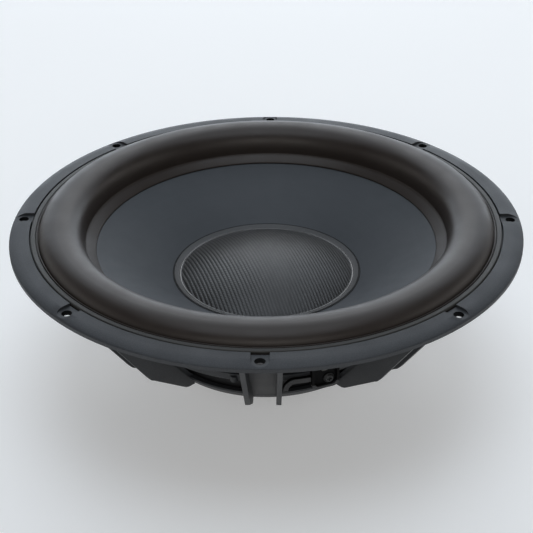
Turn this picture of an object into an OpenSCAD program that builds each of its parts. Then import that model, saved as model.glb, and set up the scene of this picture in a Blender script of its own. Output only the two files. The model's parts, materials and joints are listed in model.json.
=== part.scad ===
// Shallow car subwoofer, 12 inch class: cast basket, rubber surround, smooth cone,
// woven dust cap, and a compact ring-magnet motor hung through the basket floor.
// The speaker axis is Z. Z = 0 is the rear face of the mounting flange.
// A screw hole lies on -Y. Angles named *_az are counted from -Y towards +X.

/* [Mounting flange] */
// Outer radius of the flange
flange_r = 154.7; // [154:0.1:157]
// Thickness of the flange, rear face to front face
flange_t = 4.6; // [4:0.1:6]
// Radius where the flat front face ends and slopes down to the outer edge
flange_shoulder_r = 148.1; // [147:0.1:150]
// Height of the straight wall round the outer edge
flange_rim_h = 2.1; // [1.5:0.1:3]
// Radius of the circle that the screw holes lie on
screw_circle_r = 148.5; // [147:0.1:150]
// Radius of a screw hole
screw_hole_r = 2.85; // [2:0.05:3]
// Number of screw holes, and of spokes below them
spoke_count = 8; // [8:1:8]
// Width of the pocket round each screw hole
pocket_w = 9.8; // [9.2:0.1:14]
// Depth of the pocket round each screw hole
pocket_depth = 1.6; // [0.5:0.1:2.5]
// Height of the ledge that the surround is glued to
seat_z = 1.6; // [1:0.1:2.5]
// Inner radius of the ledge
seat_inner_r = 130; // [128:0.5:134]
// Outer radius of the recess that holds the surround and its trim ring
seat_outer_r = 142.8; // [142:0.1:144]

/* [Basket] */
// Half the width of a spoke at the flange, over its two ribs
spoke_half_w = 11.8; // [11:0.1:13]
// Thickness of a rib
rib_t = 2.9; // [2:0.1:4]
// Angle by which the ribs of a spoke lean towards each other
rib_lean = 1.5; // [0:0.1:2]
// Thickness of the sloping web between the ribs
web_t = 3; // [2:0.1:4]
// Outer radius of the shelf under the spider
shelf_r = 89; // [87.5:0.5:90]
// Height of the shelf's underside
shelf_low_z = -54; // [-55:0.5:-53]
// Thickness of the shelf
shelf_t = 3.3; // [2.5:0.1:3.5]
// Height of the underside of the basket floor
floor_z = -80; // [-81:0.5:-79.5]
// Thickness of the basket floor
floor_t = 4; // [3:0.5:4]
// Inner radius of the basket floor
floor_inner_r = 59; // [58.5:0.5:60]

/* [Cone and surround] */
// Radius of the cone's outer edge
cone_r = 109.5; // [107:0.5:109.5]
// Height of the cone's front face at its outer edge
cone_rim_z = -7.3; // [-8:0.1:-7]
// Rise of the cone's front face per millimetre of radius
cone_slope = 0.488; // [0.45:0.001:0.5]
// Thickness of the cone, measured along the axis
cone_t = 1.6; // [1:0.1:2]
// Radius of the roll's crest
roll_crest_r = 126; // [125:0.5:127]
// Height of the roll's crest
roll_crest_z = 11; // [9:0.5:13]
// Thickness of the surround
surround_t = 1.5; // [1:0.1:2]
// Radius where the inner lip of the surround ends on the cone
lip_inner_r = 103.8; // [102:0.1:106]
// Radius of the dust cap's outer edge
cap_r = 57.5; // [55:0.5:60]
// Radius of the ridge where the dust cap's dome starts
cap_dome_r = 53.4; // [50:0.1:54]
// Rise of the dust cap's dome
cap_rise = 12.5; // [8:0.5:16]

/* [Voice coil and spider] */
// Inner radius of the voice coil former
former_inner_r = 38.1; // [38.1:0.1:38.1]
// Wall of the voice coil former
former_t = 0.4; // [0.3:0.1:0.4]
// Thickness of the copper winding
winding_t = 0.9; // [0.5:0.1:0.9]
// Length of the copper winding
winding_h = 20; // [12:1:20]
// Height of the middle of the magnetic gap
gap_mid_z = -72; // [-72:0.5:-72]
// Height of the spider's middle plane
spider_z = -49.9; // [-50:0.1:-49.8]
// Height of the spider's waves, middle to crest
spider_wave = 1.7; // [1:0.1:2]
// Number of waves across the spider
spider_waves = 6; // [4:1:7]

/* [Motor] */
// Radius of the pole
pole_r = 37.4; // [37:0.1:37.5]
// Radius of the vent through the pole
vent_r = 12; // [8:0.5:16]
// Outer radius of the top plate
top_plate_r = 68.5; // [67:0.5:68.5]
// Thickness of the top plate
top_plate_t = 8; // [8:1:8]
// Outer radius of the magnet ring
magnet_r = 56; // [52:0.5:56]
// Thickness of the magnet ring
magnet_t = 8; // [8:1:8]
// Height of the flat face that the motor stands on
motor_base_z = -98; // [-99:0.5:-97.5]
// Radius of the circle that the motor screws lie on
motor_screw_circle_r = 64; // [63:0.5:64.5]

/* [Terminals] */
// Angle of the terminal bracket, midway between two spokes
terminal_az = 22.5; // [22.5:45:337.5]
// Width of the terminal bracket
bracket_w = 17; // [15:0.5:19]
// Radius of the bracket's outer face
bracket_r = 93; // [92.5:0.5:94]
// Height of the bracket's lower edge
bracket_low_z = -60; // [-62:0.5:-58]
// Height of the bracket's upper edge
bracket_top_z = -36; // [-38:0.5:-34]
// Distance of each blade terminal from the middle of the bracket
blade_offset = 4.5; // [4:0.1:4.6]
// Height of the blade terminals
blade_z = -41; // [-43:0.5:-40]

/* [Hidden] */
$fn = 96;
eps = 0.01;
cut = 1;

spoke_step = 360 / spoke_count;
cavity_low_z = motor_base_z + 4.5;
top_plate_top_z = gap_mid_z + top_plate_t / 2;
top_plate_low_z = gap_mid_z - top_plate_t / 2;
magnet_low_z = top_plate_low_z - magnet_t;
pole_top_z = top_plate_top_z + 2;
former_outer_r = former_inner_r + former_t;
winding_r = former_outer_r + winding_t;
winding_low_z = gap_mid_z - winding_h / 2;
winding_top_z = gap_mid_z + winding_h / 2;
gap_outer_r = winding_r + 0.7;
magnet_inner_r = 44;
trim_outer_r = seat_outer_r - 0.8;
trim_inner_r = 138.8;
trim_low_z = seat_z + surround_t;
neck_low_z = -45;
neck_t = 1.2;
collar_t = 0.3;
soft_gap = 0.3;
lip_t = 1;
pad_az = 8;
pad_w = 3.2;
pad_t = 0.7;
pad_low_z = -48.4;
pad_top_z = -46.1;
collar_top_z = -48.6;

// Height of the cone's front face at radius r.
function cone_z(r) = cone_rim_z - cone_slope * (cone_r - r);

// Slope of the web's outer face, as a straight line between two points (r, z).
web_top = [132.7, 0];
web_low = [68, -81.6];
function web_r(z) = web_top[0] + (z - web_top[1]) * (web_top[0] - web_low[0]) / (web_top[1] - web_low[1]);
web_w = web_t * norm(web_top - web_low) / (web_top[1] - web_low[1]);

// One point at radius r, height z and angle az.
function at(r, az, z) = [r * sin(az), -r * cos(az), z];

module turn_to(az) {
    rotate([0, 0, az - 90]) children();
}

module around(count, start = 0) {
    for (i = [0 : count - 1]) turn_to(start + i * 360 / count) children();
}

module ring(inner_r, outer_r, low_z, top_z) {
    translate([0, 0, low_z]) difference() {
        cylinder(r = outer_r, h = top_z - low_z);
        translate([0, 0, -cut]) cylinder(r = inner_r, h = top_z - low_z + 2 * cut);
    }
}

// Sweeps a round section of n sides along a list of points.
function frame_side(d) = cross(d, [0, 0, 1]) / norm(cross(d, [0, 0, 1]));
function path_dir(p, i) = let (d = p[min(i + 1, len(p) - 1)] - p[max(i - 1, 0)]) d / norm(d);
function sweep_ring(p, i, r, n) =
    let (d = path_dir(p, i), s = frame_side(d), u = cross(s, d))
    [for (k = [0 : n - 1]) p[i] + r * (cos(360 * (k + 0.5) / n) * s + sin(360 * (k + 0.5) / n) * u)];

module sweep(p, r, n) {
    m = len(p);
    points = [for (i = [0 : m - 1]) each sweep_ring(p, i, r, n)];
    sides = [for (i = [0 : m - 2], k = [0 : n - 1])
        [i * n + k, i * n + (k + 1) % n, (i + 1) * n + (k + 1) % n, (i + 1) * n + k]];
    first = [for (k = [0 : n - 1]) n - 1 - k];
    last = [for (k = [0 : n - 1]) (m - 1) * n + k];
    polyhedron(points = points, faces = concat(sides, [first, last]));
}

// ---- Basket ----

module flange_profile() {
    rim_bevel = 0.8;
    polygon([
        [seat_inner_r, -2.2], [seat_inner_r, seat_z], [seat_outer_r, seat_z],
        [seat_outer_r, flange_t], [flange_shoulder_r, flange_t],
        [flange_r - rim_bevel, flange_rim_h + rim_bevel], [flange_r, flange_rim_h], [flange_r, 0], [145, 0],
        [142, -3.2], [134.5, -3.2], [133.5, -5.5], [131.5, -5.5]
    ]);
}

module web_profile() {
    low_z = floor_z + 1.2;
    polygon([
        [web_top[0] - web_w, 0], web_top, [web_r(low_z), low_z], [web_r(low_z) - web_w, low_z]
    ]);
}

// Outer edge of a rib from the flange down to the floor, then back up along the web.
module rib_profile() {
    polygon([
        [145.7, 1], [142.6, -3], [104.5, -58], [103.4, -59.4], [102.2, -60.4], [100.8, -61.2],
        [79.6, -76.8], [77, -78.6], [74.6, -79.4], [70, -79.4],
        [web_r(-77) - 1, -77], [web_top[0] - 1, 0], [web_top[0] - 1, 1]
    ]);
}

// Half the width of a spoke over its ribs at height z.
function spoke_w(z) = spoke_half_w + z * tan(rib_lean);

module spoke() {
    low_w = spoke_w(floor_z) - rib_t / 2;
    top_w = spoke_w(0) - rib_t / 2;
    intersection() {
        rotate_extrude() web_profile();
        rotate([90, 0, 90]) linear_extrude(flange_r)
            polygon([[-low_w, floor_z], [low_w, floor_z], [top_w, 0], [-top_w, 0]]);
    }
    for (side = [-1, 1])
        translate([0, side * top_w, 0]) rotate([-side * rib_lean, 0, 0]) translate([0, rib_t / 2, 0])
            rotate([90, 0, 0]) linear_extrude(rib_t) rib_profile();
}

module shelf_profile() {
    polygon([
        [79, shelf_low_z + 0.8], [79, shelf_low_z + shelf_t], [shelf_r - 0.8, shelf_low_z + shelf_t],
        [shelf_r - 0.8, shelf_low_z + shelf_t + 1.4], [shelf_r + 0.6, shelf_low_z + shelf_t + 1.4],
        [shelf_r, shelf_low_z + 0.5], [shelf_r - 0.5, shelf_low_z], [80, shelf_low_z]
    ]);
}

module floor_profile() {
    polygon([
        [floor_inner_r, floor_z], [floor_inner_r, floor_z + floor_t], [69, floor_z + floor_t],
        [70.2, floor_z + 6.5], [73.4, floor_z + 6.5], [73.8, floor_z + 5.6], [70.9, floor_z + 1.4],
        [68.8, floor_z]
    ]);
}

module screw_pocket() {
    pocket_end_r = screw_circle_r + 5;
    corner = 4.5;
    translate([seat_outer_r - 1, -pocket_w / 2, flange_t - pocket_depth])
        cube([pocket_end_r - corner - seat_outer_r + 1, pocket_w, pocket_depth + cut]);
    translate([pocket_end_r - corner - eps, -pocket_w / 2 + corner, flange_t - pocket_depth])
        cube([corner + eps, pocket_w - 2 * corner, pocket_depth + cut]);
    for (side = [-1, 1])
        translate([pocket_end_r - corner, side * (pocket_w / 2 - corner), flange_t - pocket_depth])
            cylinder(r = corner, h = pocket_depth + cut, $fn = 48);
}

module terminal_boss() {
    boss_w = 12;
    boss_inner_r = 81;
    boss_drop = 3.2;
    turn_to(terminal_az) translate([boss_inner_r, -boss_w / 2, shelf_low_z - boss_drop])
        cube([shelf_r + 1 - boss_inner_r, boss_w, shelf_t + boss_drop]);
}

// A small rounded lug on the shelf's edge, on the far side of the front spoke from the terminals.
module shelf_lug() {
    lug_az = -11;
    lug_r = 2.2;
    lug_h = 3.4;
    turn_to(lug_az) translate([shelf_r - 0.2, 0, shelf_low_z - 0.2])
        cylinder(r = lug_r, h = lug_h, $fn = 48);
}

module basket() {
    color([0.2, 0.21, 0.22]) difference() {
        union() {
            rotate_extrude() flange_profile();
            rotate_extrude() shelf_profile();
            rotate_extrude() floor_profile();
            around(spoke_count) spoke();
            terminal_boss();
            shelf_lug();
        }
        around(spoke_count) translate([screw_circle_r, 0, -cut])
            cylinder(r = screw_hole_r, h = flange_t + 2 * cut, $fn = 48);
        around(spoke_count) screw_pocket();
        around(spoke_count, spoke_step / 2) translate([motor_screw_circle_r, 0, floor_z - cut])
            cylinder(r = motor_screw_r + 0.05, h = floor_t + 2 * cut, $fn = 48);
        translate([0, 0, floor_z - cut]) cylinder(r = floor_inner_r, h = floor_t + 2 * cut);
        terminal_hole(terminal_screw_r + 0.05);
    }
}

// ---- Surround and its trim ring ----

// Rounded quarter of a superellipse from angle a0 to a1 about the crest's column.
function bow(mid_z, half_w, rise, power, a0, a1, steps) =
    [for (i = [0 : steps]) let (a = a0 + (a1 - a0) * i / steps)
        [roll_crest_r + sign(cos(a)) * half_w * pow(abs(cos(a)), 2 / power),
         mid_z + rise * pow(abs(sin(a)), 2 / power)]];

outer_foot_z = trim_low_z;
inner_foot_z = -5;
outer_half_w = 11.4;
inner_half_w = 15.8;
inner_foot_r = roll_crest_r - inner_half_w;
lip_z = soft_gap + lip_t;
bead_r = 138.1;
bead_w = 0.7;
bead_top_z = 4.5;

module surround_profile() {
    top_outer = bow(outer_foot_z, outer_half_w, roll_crest_z - outer_foot_z, 2, 0, 82.5, 11);
    top_inner = bow(inner_foot_z, inner_half_w, roll_crest_z - inner_foot_z, 2.5, 90, 180, 14);
    low_inner = bow(inner_foot_z, inner_half_w - surround_t, roll_crest_z - inner_foot_z - surround_t,
                    2.5, 180, 90, 14);
    low_outer = bow(outer_foot_z, outer_half_w - surround_t, roll_crest_z - outer_foot_z - surround_t,
                    2, 82.5, 0, 11);
    bead = [[bead_r + bead_w / 2, trim_low_z], [bead_r + bead_w / 2, bead_top_z - 0.3],
            [bead_r, bead_top_z], [bead_r - bead_w / 2, bead_top_z - 0.3],
            [bead_r - bead_w / 2, trim_low_z]];
    lip = [[inner_foot_r - 0.3, cone_z(inner_foot_r - 0.3) + lip_z + 0.4],
           [inner_foot_r - 1.4, cone_z(inner_foot_r - 1.4) + lip_z],
           [lip_inner_r, cone_z(lip_inner_r) + lip_z], [lip_inner_r, cone_z(lip_inner_r) + soft_gap],
           [cone_r + 0.5, cone_z(cone_r + 0.5) + soft_gap],
           [inner_foot_r + surround_t - 0.2, cone_z(inner_foot_r + surround_t) + lip_t]];
    polygon(concat(
        [[trim_outer_r, seat_z], [trim_outer_r, trim_low_z]], bead,
        top_outer, top_inner, lip, low_inner, low_outer,
        [[134, trim_low_z], [134, seat_z]]
    ));
}

module surround() {
    color([0.17, 0.16, 0.155]) rotate_extrude() surround_profile();
}

module trim_ring() {
    color([0.2, 0.2, 0.19]) rotate_extrude() polygon([
        [trim_inner_r, trim_low_z], [trim_inner_r, flange_t - 0.5], [trim_inner_r + 0.5, flange_t],
        [trim_outer_r - 0.5, flange_t], [trim_outer_r, flange_t - 0.5], [trim_outer_r, trim_low_z]
    ]);
}

// ---- Moving assembly ----

module cone() {
    neck_r = former_outer_r + neck_t;
    color([0.25, 0.27, 0.29]) rotate_extrude() polygon([
        [cone_r, cone_z(cone_r)], [cone_r, cone_z(cone_r) - cone_t], [neck_r, cone_z(neck_r) - cone_t],
        [neck_r, neck_low_z], [former_outer_r, neck_low_z], [former_outer_r, cone_z(former_outer_r)]
    ]);
}

cap_t = 0.9;
cap_base_z = cone_z(cap_dome_r) + 1.2;
cap_sphere_r = (cap_dome_r * cap_dome_r + cap_rise * cap_rise) / (2 * cap_rise);
cap_sphere_z = cap_base_z + cap_rise - cap_sphere_r;

module dust_cap() {
    color([0.16, 0.17, 0.18]) union() {
        difference() {
            intersection() {
                translate([0, 0, cap_sphere_z]) sphere(r = cap_sphere_r);
                translate([0, 0, cap_base_z]) cylinder(r = cap_dome_r, h = cap_rise + cut);
            }
            translate([0, 0, cap_sphere_z]) sphere(r = cap_sphere_r - cap_t);
        }
        rotate_extrude() polygon([
            [cap_dome_r - 2.2, cap_base_z], [cap_dome_r - 1.8, cap_base_z + 0.9],
            [cap_dome_r, cap_base_z + 0.5], [cap_dome_r + 0.6, cone_z(cap_dome_r + 0.6) + cap_t],
            [cap_r, cone_z(cap_r) + cap_t], [cap_r, cone_z(cap_r)],
            [cap_dome_r - 2.2, cone_z(cap_dome_r - 2.2)]
        ]);
    }
}

module cap_adhesive() {
    color([0.05, 0.05, 0.05]) rotate_extrude() polygon([
        [cap_r, cone_z(cap_r)], [cap_r, cone_z(cap_r) + 0.7], [cap_r + 1.3, cone_z(cap_r + 1.3)]
    ]);
}

module coil_former() {
    color([0.75, 0.7, 0.5]) ring(former_inner_r, former_outer_r, winding_low_z, neck_low_z + 5.5);
}

module coil_winding() {
    color([0.72, 0.42, 0.2]) ring(former_outer_r, winding_r, winding_low_z, winding_top_z);
}

module former_collar() {
    color([0.7, 0.6, 0.42]) ring(former_outer_r, former_outer_r + collar_t, winding_top_z, collar_top_z);
}

module neck_adhesive() {
    neck_r = former_outer_r + neck_t;
    color([0.06, 0.06, 0.06]) rotate_extrude() polygon([
        [former_outer_r, neck_low_z], [neck_r - 0.1, neck_low_z], [former_outer_r, neck_low_z - 1]
    ]);
}

module coil_solder_pads() {
    color([0.72, 0.42, 0.2]) for (side = [-1, 1])
        turn_to(terminal_az + side * pad_az) intersection() {
            ring(former_outer_r, former_outer_r + pad_t, pad_low_z, pad_top_z);
            translate([former_outer_r - cut, -pad_w / 2, pad_low_z - cut])
                cube([pad_t + 2 * cut, pad_w, pad_top_z - pad_low_z + 2 * cut]);
        }
}

// ---- Spider ----

spider_in_r = former_outer_r + collar_t + soft_gap;
spider_out_r = 87;
spider_t = 0.7;
spider_flat_w = 5;
spider_steps = 12;

function spider_curve(shift) =
    let (r0 = spider_in_r + 1.5, r1 = spider_out_r - spider_flat_w, n = spider_waves * spider_steps)
    [for (i = [0 : n]) let (wave = spider_wave * sin(360 * i / spider_steps))
        [r0 + (r1 - r0) * i / n, spider_z + shift - wave]];

function reversed(list) = [for (i = [len(list) - 1 : -1 : 0]) list[i]];

module spider() {
    h = spider_t / 2;
    color([0.2, 0.18, 0.14]) rotate_extrude() polygon(concat(
        [[spider_in_r, spider_z - h - 0.8], [spider_in_r, spider_z + h]], spider_curve(h),
        [[spider_out_r, spider_z + h], [spider_out_r, shelf_low_z + shelf_t]],
        [[spider_out_r - spider_flat_w + 0.5, shelf_low_z + shelf_t]],
        reversed(spider_curve(-h)), [[spider_in_r + 0.6, spider_z - h - 0.8]]
    ));
}

// ---- Motor ----

module top_plate() {
    color([0.14, 0.14, 0.15]) difference() {
        ring(gap_outer_r, top_plate_r, top_plate_low_z, top_plate_top_z);
        around(spoke_count, spoke_step / 2) translate([motor_screw_circle_r, 0, top_plate_low_z - cut])
            cylinder(r = motor_screw_r + 0.3, h = top_plate_t + 2 * cut, $fn = 48);
    }
}

module magnet_ring() {
    color([0.7, 0.7, 0.72]) ring(magnet_inner_r, magnet_r, magnet_low_z, top_plate_low_z);
}

module shorting_ring() {
    color([0.8, 0.8, 0.82]) ring(gap_outer_r + 1.5, magnet_inner_r, magnet_low_z, top_plate_low_z);
}

module back_plate_and_pole() {
    cavity_r = 42.5;
    color([0.45, 0.45, 0.47]) rotate_extrude() polygon([
        [vent_r, motor_base_z + 2], [vent_r, pole_top_z - 3], [vent_r + 3, pole_top_z],
        [pole_r - 1.2, pole_top_z], [pole_r, pole_top_z - 1.2], [pole_r, cavity_low_z],
        [cavity_r, cavity_low_z], [cavity_r, magnet_low_z], [magnet_r, magnet_low_z],
        [magnet_r, magnet_low_z - 4.5], [magnet_r - 1.5, magnet_low_z - 6], [47.5, magnet_low_z - 6],
        [46.2, motor_base_z + 1.5], [44.7, motor_base_z], [vent_r + 1.5, motor_base_z],
        [vent_r + 1.5, motor_base_z + 2]
    ]);
}

module motor_cover() {
    cover_low_z = magnet_low_z - 4;
    color([0.08, 0.08, 0.08]) ring(magnet_r, magnet_r + 1.8, cover_low_z, top_plate_low_z);
}

motor_screw_r = 2.45;
motor_screw_low_z = floor_z + 0.5;
motor_head_r = 4.3;
motor_head_h = 2.6;
motor_socket_r = 1.7;
motor_socket_depth = 1.6;

module motor_screws() {
    socket_low_z = top_plate_top_z + motor_head_h - motor_socket_depth;
    color([0.15, 0.15, 0.15]) around(spoke_count, spoke_step / 2)
        translate([motor_screw_circle_r, 0, 0]) difference() {
            union() {
                translate([0, 0, motor_screw_low_z])
                    cylinder(r = motor_screw_r, h = top_plate_top_z - motor_screw_low_z, $fn = 32);
                translate([0, 0, top_plate_top_z]) cylinder(r = motor_head_r, h = motor_head_h, $fn = 32);
            }
            translate([0, 0, socket_low_z])
                cylinder(r = motor_socket_r, h = motor_socket_depth + cut, $fn = 6);
        }
}

screen_t = 1;
screen_low_z = motor_base_z + 1;
screen_hole_r = 1.3;
screen_pitch = 3.4;

module screen_hole() {
    translate([0, 0, screen_low_z - cut]) cylinder(r = screen_hole_r, h = screen_t + 2 * cut, $fn = 6);
}

module vent_screen() {
    color([0.1, 0.1, 0.1]) difference() {
        translate([0, 0, screen_low_z]) cylinder(r = vent_r + 1.4, h = screen_t);
        screen_hole();
        for (row = [1 : 3]) around(6 * row) translate([screen_pitch * row, 0, 0]) screen_hole();
    }
}

// ---- Terminals ----

terminal_screw_z = shelf_low_z - 0.6;
terminal_screw_side = 2.4;
terminal_screw_r = 1.45;
terminal_screw_inner_r = 84;
blade_w = 3.2;
blade_t = 0.8;
blade_inner_r = 86.5;
blade_outer_r = 101;
blade_shoulder_w = 4.4;
bracket_t = 3;
bracket_lip = 2;

// A hole along the bracket's screw, from inside the shelf out past the bracket.
module terminal_hole(r) {
    turn_to(terminal_az) translate([terminal_screw_inner_r - 4, terminal_screw_side, terminal_screw_z])
        rotate([0, 90, 0]) cylinder(r = r, h = 20, $fn = 32);
}

// Outline of the bracket's plate: width along X, height along Y, lower corners rounded.
module bracket_outline(inset, corner) {
    w = bracket_w - 2 * inset;
    low = bracket_low_z + inset;
    top = bracket_top_z - inset;
    translate([-w / 2, low + corner]) square([w, top - low - corner]);
    translate([-w / 2 + corner, low]) square([w - 2 * corner, corner + eps]);
    for (side = [-1, 1]) translate([side * (w / 2 - corner), low + corner]) circle(r = corner, $fn = 48);
}

// Stands an outline up so that it faces outward, with its front at radius r.
module stand(r, t) {
    translate([r - t, 0, 0]) rotate([90, 0, 90]) linear_extrude(t) children();
}

// Arm of the bracket: level along the shelf, then a quarter bend down beside the next spoke.
arm_w = 2.4;
arm_h = 3;
arm_r = bracket_r - 1.8;
arm_z = shelf_low_z + 1.4;
arm_bend_r = 6;
arm_end_gap = 0.2;
arm_bend_az = asin((spoke_w(arm_z + arm_h / 2) + arm_end_gap + arm_h / 2 + arm_bend_r) / arm_r);

module bracket_arm() {
    turn_to(arm_bend_az) {
        rotate_extrude(angle = terminal_az - arm_bend_az - 4)
            translate([arm_r - arm_w / 2, arm_z - arm_h / 2]) square([arm_w, arm_h]);
        translate([arm_r - arm_w / 2, 0, arm_z - arm_bend_r]) rotate([90, 0, 90])
            rotate([0, 0, 90]) rotate_extrude(angle = 90)
                translate([arm_bend_r - arm_h / 2, 0]) square([arm_h, arm_w]);
    }
}

bracket_corner_r = 4;
bracket_rim_w = 1.6;
divider_w = 2.4;
divider_h = 6;
blade_slot_gap = 0.2;

module blade_slot(side) {
    slot_w = blade_w + 2 * blade_slot_gap;
    slot_h = blade_t + blade_slot_gap;
    translate([bracket_r - bracket_t - cut, side * blade_offset - slot_w / 2, blade_z - slot_h / 2])
        cube([bracket_t, slot_w, slot_h]);
}

module bracket_plate() {
    stand(bracket_r - bracket_lip, bracket_t - bracket_lip) bracket_outline(0, bracket_corner_r);
    difference() {
        stand(bracket_r, bracket_lip) bracket_outline(0, bracket_corner_r);
        stand(bracket_r + cut, bracket_lip + cut) bracket_outline(bracket_rim_w, bracket_corner_r - 1.2);
    }
    translate([bracket_r - bracket_lip, -divider_w / 2, blade_z - divider_h / 2])
        cube([bracket_lip, divider_w, divider_h]);
}

module terminal_bracket() {
    color([0.18, 0.18, 0.19]) {
        difference() {
            turn_to(terminal_az) difference() {
                bracket_plate();
                for (side = [-1, 1]) blade_slot(side);
            }
            terminal_hole(terminal_screw_r + 0.25);
        }
        bracket_arm();
    }
}

module terminal_screw() {
    face_r = bracket_r - bracket_lip;
    washer_r = 3.2;
    washer_t = 0.8;
    head_h = 1;
    recess_w = 2.8;
    recess_t = 0.7;
    color([0.14, 0.14, 0.14]) turn_to(terminal_az)
        translate([0, terminal_screw_side, terminal_screw_z]) rotate([0, 90, 0]) difference() {
            union() {
                translate([0, 0, terminal_screw_inner_r])
                    cylinder(r = terminal_screw_r, h = face_r - terminal_screw_inner_r, $fn = 32);
                translate([0, 0, face_r]) cylinder(r = washer_r, h = washer_t, $fn = 48);
                translate([0, 0, face_r + washer_t])
                    cylinder(r1 = washer_r - 0.2, r2 = washer_r - 1, h = head_h, $fn = 48);
            }
            for (turn = [0, 90]) rotate([0, 0, turn])
                translate([-recess_w / 2, -recess_t / 2, face_r + washer_t + 0.1])
                    cube([recess_w, recess_t, head_h]);
        }
}

module blade_terminal(side) {
    hole_r = 0.8;
    hole_inset = 2.6;
    color([0.85, 0.65, 0.3]) turn_to(terminal_az)
        translate([0, side * blade_offset, blade_z - blade_t / 2]) difference() {
            union() {
                translate([blade_inner_r, -blade_w / 2, 0])
                    cube([blade_outer_r - blade_inner_r, blade_w, blade_t]);
                translate([bracket_r - bracket_lip + 0.1, -blade_shoulder_w / 2, 0])
                    cube([1.2, blade_shoulder_w, blade_t]);
            }
            translate([blade_outer_r - hole_inset, 0, -cut])
                cylinder(r = hole_r, h = blade_t + 2 * cut, $fn = 24);
        }
}

module blade_terminal_positive() {
    blade_terminal(1);
}

module blade_terminal_negative() {
    blade_terminal(-1);
}

// A lead leaves its solder pad level, bows up below the cone and ends on its blade.
lead_r = 0.9;
lead_steps = 16;
lead_start_r = former_outer_r + pad_t + soft_gap + lead_r;
lead_end_r = 89.5;
lead_start_z = -46.4;
lead_end_z = blade_z + blade_t / 2 + lead_r;
lead_bow = 3;

function lead_path(side) = [for (i = [0 : lead_steps]) let (
    s = i / lead_steps,
    ease = s * s * (3 - 2 * s),
    end_az = asin(blade_offset / lead_end_r),
    az = terminal_az + side * (pad_az + (end_az - pad_az) * ease))
    at(lead_start_r + (lead_end_r - lead_start_r) * s, az,
       lead_start_z + (lead_end_z - lead_start_z) * ease + lead_bow * sin(180 * s) * (1 - s))];

module tinsel_lead_positive() {
    color([0.75, 0.7, 0.6]) sweep(lead_path(1), lead_r, 8);
}

module tinsel_lead_negative() {
    color([0.75, 0.7, 0.6]) sweep(lead_path(-1), lead_r, 8);
}

basket();
surround();
trim_ring();
cone();
dust_cap();
cap_adhesive();
coil_former();
coil_winding();
former_collar();
neck_adhesive();
coil_solder_pads();
spider();
top_plate();
magnet_ring();
shorting_ring();
back_plate_and_pole();
motor_cover();
motor_screws();
vent_screen();
terminal_bracket();
terminal_screw();
blade_terminal_positive();
blade_terminal_negative();
tinsel_lead_positive();
tinsel_lead_negative();
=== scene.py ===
"""Looks for a shallow 12 inch car subwoofer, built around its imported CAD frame.

Outlines are in millimetres and are turned into metres when a mesh is made. The speaker axis is Z.
Angles named *_az are in degrees, counted from -Y towards +X.
"""
import json
import math

import bpy
import numpy as np
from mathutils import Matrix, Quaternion, Vector


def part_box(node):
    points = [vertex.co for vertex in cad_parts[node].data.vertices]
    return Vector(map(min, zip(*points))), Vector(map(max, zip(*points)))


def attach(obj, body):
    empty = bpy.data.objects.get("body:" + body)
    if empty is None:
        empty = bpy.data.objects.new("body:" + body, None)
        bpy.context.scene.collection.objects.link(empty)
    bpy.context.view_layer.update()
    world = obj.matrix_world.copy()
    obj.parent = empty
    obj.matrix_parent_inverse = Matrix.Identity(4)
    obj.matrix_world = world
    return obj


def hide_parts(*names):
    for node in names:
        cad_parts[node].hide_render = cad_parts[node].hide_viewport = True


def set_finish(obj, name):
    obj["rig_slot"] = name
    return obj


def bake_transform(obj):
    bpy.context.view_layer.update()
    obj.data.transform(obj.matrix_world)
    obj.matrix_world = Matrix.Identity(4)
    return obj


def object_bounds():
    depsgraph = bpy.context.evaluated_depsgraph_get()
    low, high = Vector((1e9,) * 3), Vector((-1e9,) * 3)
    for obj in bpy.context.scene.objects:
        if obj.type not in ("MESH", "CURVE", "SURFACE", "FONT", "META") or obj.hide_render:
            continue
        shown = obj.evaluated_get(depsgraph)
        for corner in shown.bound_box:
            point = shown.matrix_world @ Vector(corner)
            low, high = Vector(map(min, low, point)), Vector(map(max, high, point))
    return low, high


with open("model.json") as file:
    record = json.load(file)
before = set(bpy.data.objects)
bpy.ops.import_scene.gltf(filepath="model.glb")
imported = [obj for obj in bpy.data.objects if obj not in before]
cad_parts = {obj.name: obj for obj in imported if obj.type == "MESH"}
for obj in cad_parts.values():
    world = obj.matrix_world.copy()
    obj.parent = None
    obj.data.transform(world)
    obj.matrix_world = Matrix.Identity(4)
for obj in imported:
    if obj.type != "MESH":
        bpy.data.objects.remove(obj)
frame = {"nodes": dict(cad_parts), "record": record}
cad_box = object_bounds()

MM = 0.001
FIXED = "frame_and_motor"
MOVING = "cone_assembly"
TURN_STEPS = 256
SHARP_ANGLE = math.radians(32)
BEVEL_ANGLE = math.radians(30)
# Screw holes in the flange, in millimetres, and the angle between two of them; their walls get painted
# shade
HOLE_CIRCLE_R, HOLE_R, HOLE_STEP_AZ = 148.5, 2.85, 45
# Terminal bracket: its angle, a radius between its recess and rim, and the end and top of its parts, which
# bound the painted shade on the bracket
TERMINAL_AZ = 22.5
RECESS_R = 91.8
ARM_END, LOW_RIM_TOP_Z = -9, -56.75


def cad_mm(node):
    """Lowest and highest corner of a CAD node, in millimetres."""
    low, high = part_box(node)
    return low / MM, high / MM


# ---- Meshes ----


def smoothstep(t):
    t = np.clip(t, 0, 1)
    return t * t * (3 - 2 * t)


def rounded(outline, radius, steps=4):
    """A closed outline with its corners rounded, by less than the radius where its sides are short."""
    corners = [np.array(p, float) for p in outline]
    result = []
    for before, corner, after in zip(corners[-1:] + corners[:-1], corners, corners[1:] + corners[:1]):
        back, ahead = before - corner, after - corner
        reach = min(radius, 0.45 * np.linalg.norm(back), 0.45 * np.linalg.norm(ahead))
        start = corner + back / np.linalg.norm(back) * reach
        end = corner + ahead / np.linalg.norm(ahead) * reach
        for t in np.linspace(0, 1, steps + 1):
            result.append((1 - t) ** 2 * start + 2 * t * (1 - t) * corner + t * t * end)
    return np.array(result)


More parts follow.
